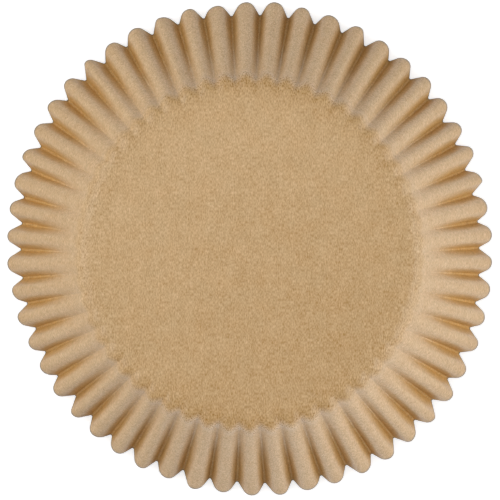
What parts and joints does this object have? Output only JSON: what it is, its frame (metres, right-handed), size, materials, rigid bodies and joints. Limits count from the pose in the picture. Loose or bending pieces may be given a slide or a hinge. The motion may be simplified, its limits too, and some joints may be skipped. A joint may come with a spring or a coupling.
{
  "type": "cupcake liner",
  "caption": "Round fluted paper baking cup with a flat bottom and a flaring pleated wall, upside down on its rim.",
  "frame": {"origin": "centre of the rim, in the plane that the cup stands on when it is upside down", "axes": "+Z along the cup's axis, from the open rim up to the closed flat bottom; +Y through the tip of a lobe"},
  "size_m": [0.0748, 0.075, 0.03],
  "materials": {
    "paper": "matte unbleached brown paper"
  },
  "bodies": {
    "root": {"paper_cup": "paper"}
  },
  "joints": []
}
